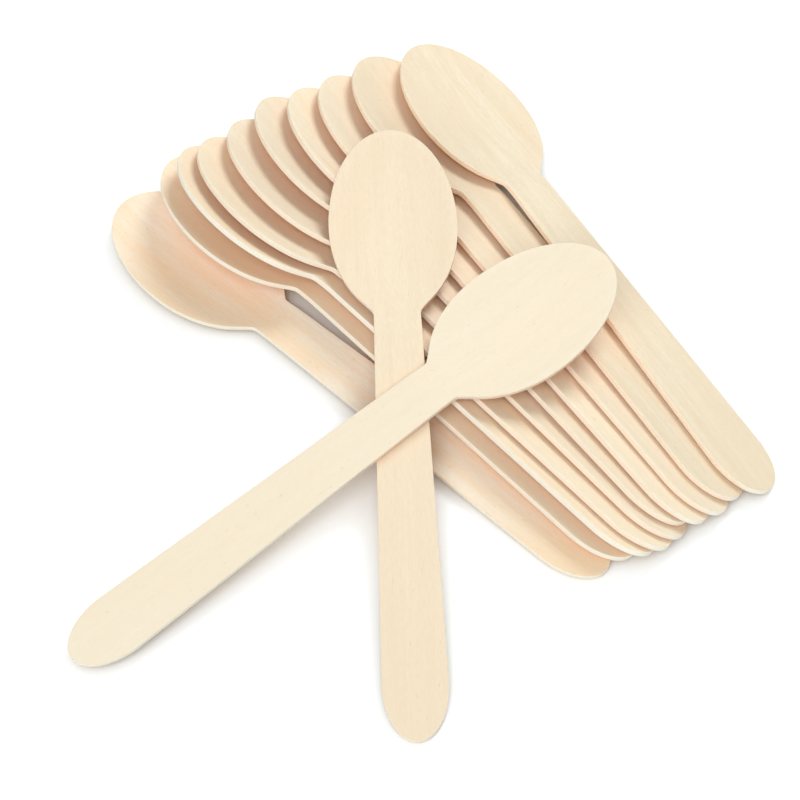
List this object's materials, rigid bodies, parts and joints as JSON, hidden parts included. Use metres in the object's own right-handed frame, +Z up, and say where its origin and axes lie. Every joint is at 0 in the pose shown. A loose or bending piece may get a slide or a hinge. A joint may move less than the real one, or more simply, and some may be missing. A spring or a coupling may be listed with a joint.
{
  "type": "wooden spoon pack",
  "caption": "Loose pack of disposable birch spoons with shallow pressed oval bowls and flat tapering handles, spread in a fan with others laid crosswise on top.",
  "frame": {"origin": "centre of the pack's footprint, on the table that it lies on", "axes": "+Z up from the table, +Y away from the viewer along the longest side of the footprint, +X to the viewer's right"},
  "size_m": [0.1634, 0.202, 0.0213],
  "materials": {
    "birch": "matt, unvarnished pressed veneer"
  },
  "bodies": {
    "root": {"fan_spoon_01": "birch", "fan_spoon_02": "birch", "fan_spoon_03": "birch", "fan_spoon_04": "birch", "fan_spoon_05": "birch", "fan_spoon_06": "birch", "fan_spoon_07": "birch", "fan_spoon_08": "birch", "fan_spoon_09": "birch", "fan_spoon_10": "birch", "crossed_spoon_lower": "birch", "crossed_spoon_upper": "birch"}
  },
  "joints": []
}
